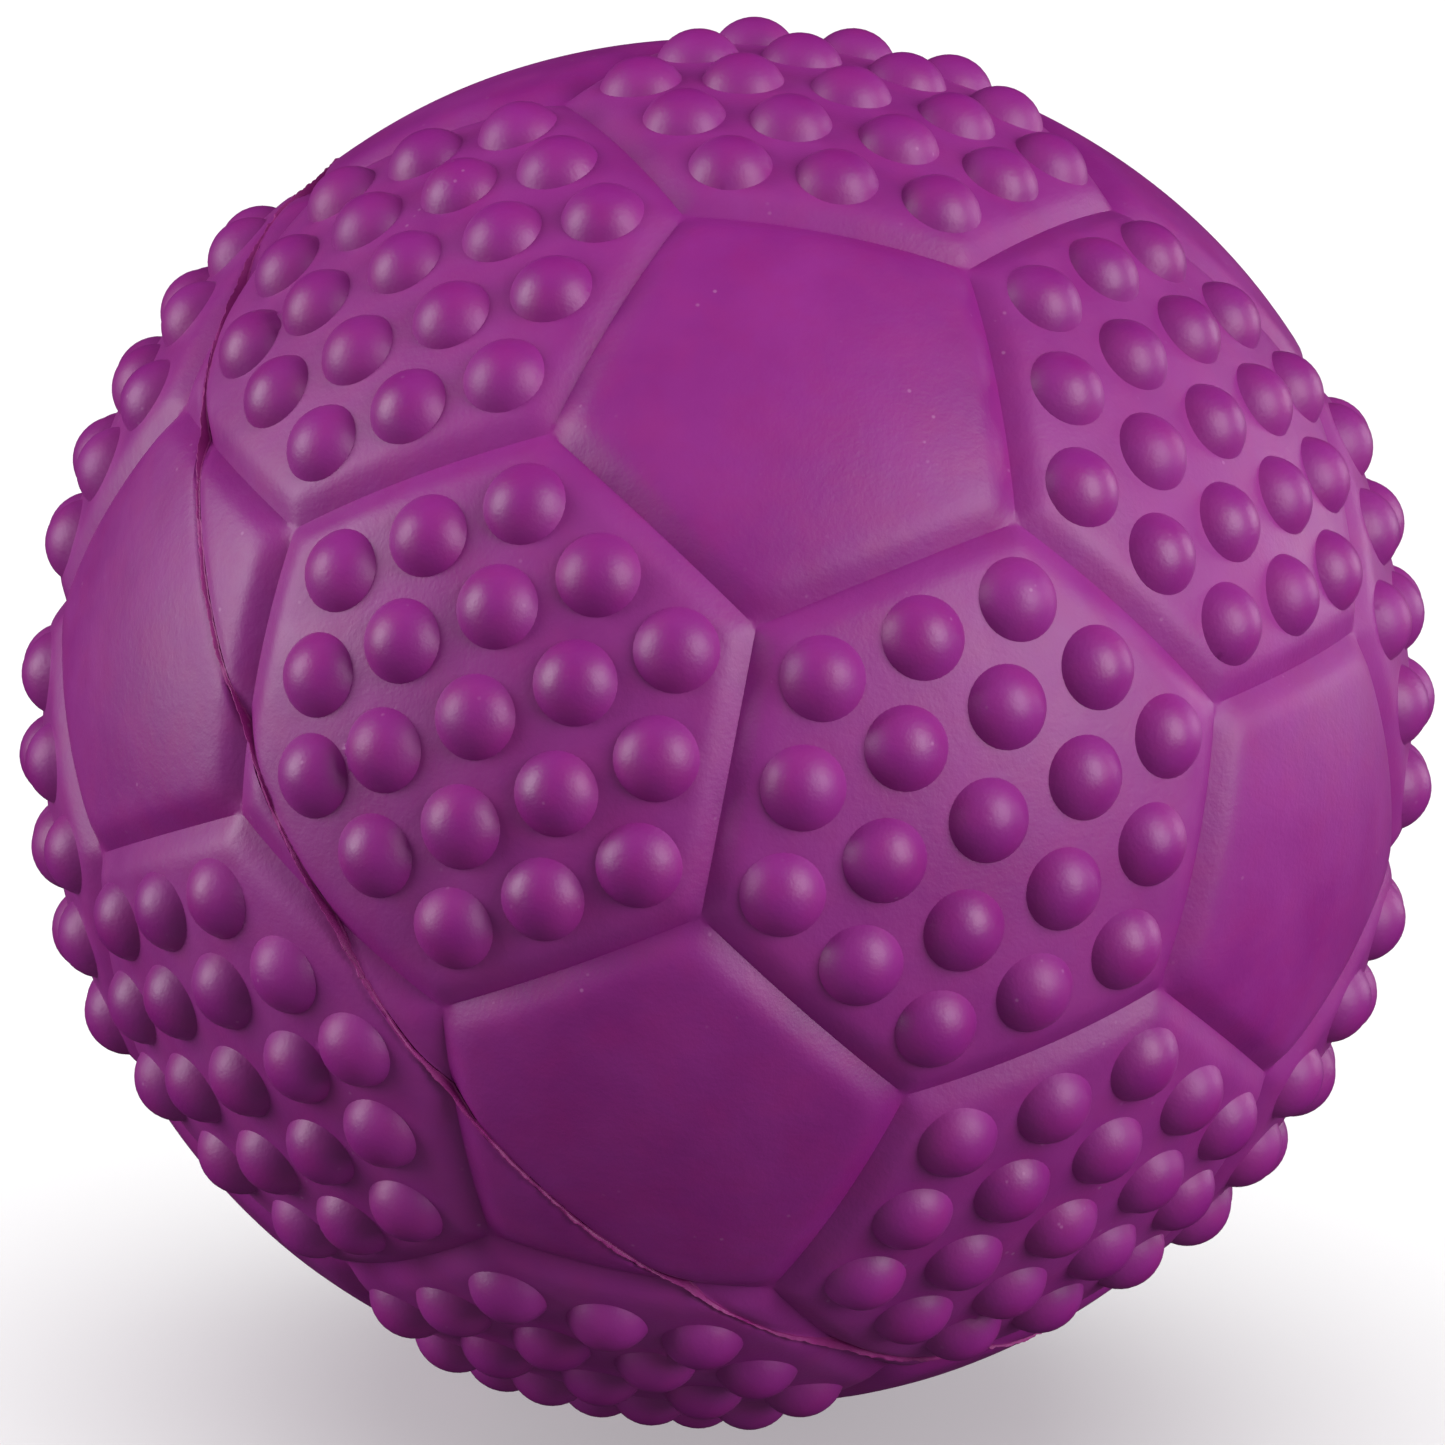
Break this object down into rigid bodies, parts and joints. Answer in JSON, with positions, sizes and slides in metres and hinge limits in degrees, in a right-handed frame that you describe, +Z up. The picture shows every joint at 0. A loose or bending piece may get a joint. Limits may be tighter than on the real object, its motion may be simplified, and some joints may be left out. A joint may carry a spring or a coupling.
{
  "type": "playground rubber ball",
  "caption": "Hollow moulded rubber play ball with creased pentagon and hexagon panels, round grip bumps on the hexagons and a raised joint line.",
  "frame": {"origin": "centre of the ball", "axes": "+Z up with the ball standing on three neighbouring bumps, -Y to the front. A ball is balanced about every line through its centre, so +Z is an axis of symmetry for its mass. The mould's own axis, square to the joint, points up, right and forward: heading -35.7 degrees from +X and 35.6 degrees above level."},
  "size_m": [0.07, 0.0698, 0.0698],
  "materials": {
    "upper_rubber": "satin moulded rubber",
    "lower_rubber": "satin moulded rubber",
    "bond_rubber": "matt rubber",
    "flash_rubber": "rough trimmed rubber"
  },
  "bodies": {
    "root": {"upper_half_shell": "upper_rubber", "lower_half_shell": "lower_rubber", "seam_bond": "bond_rubber", "parting_flash": "flash_rubber"}
  },
  "joints": []
}
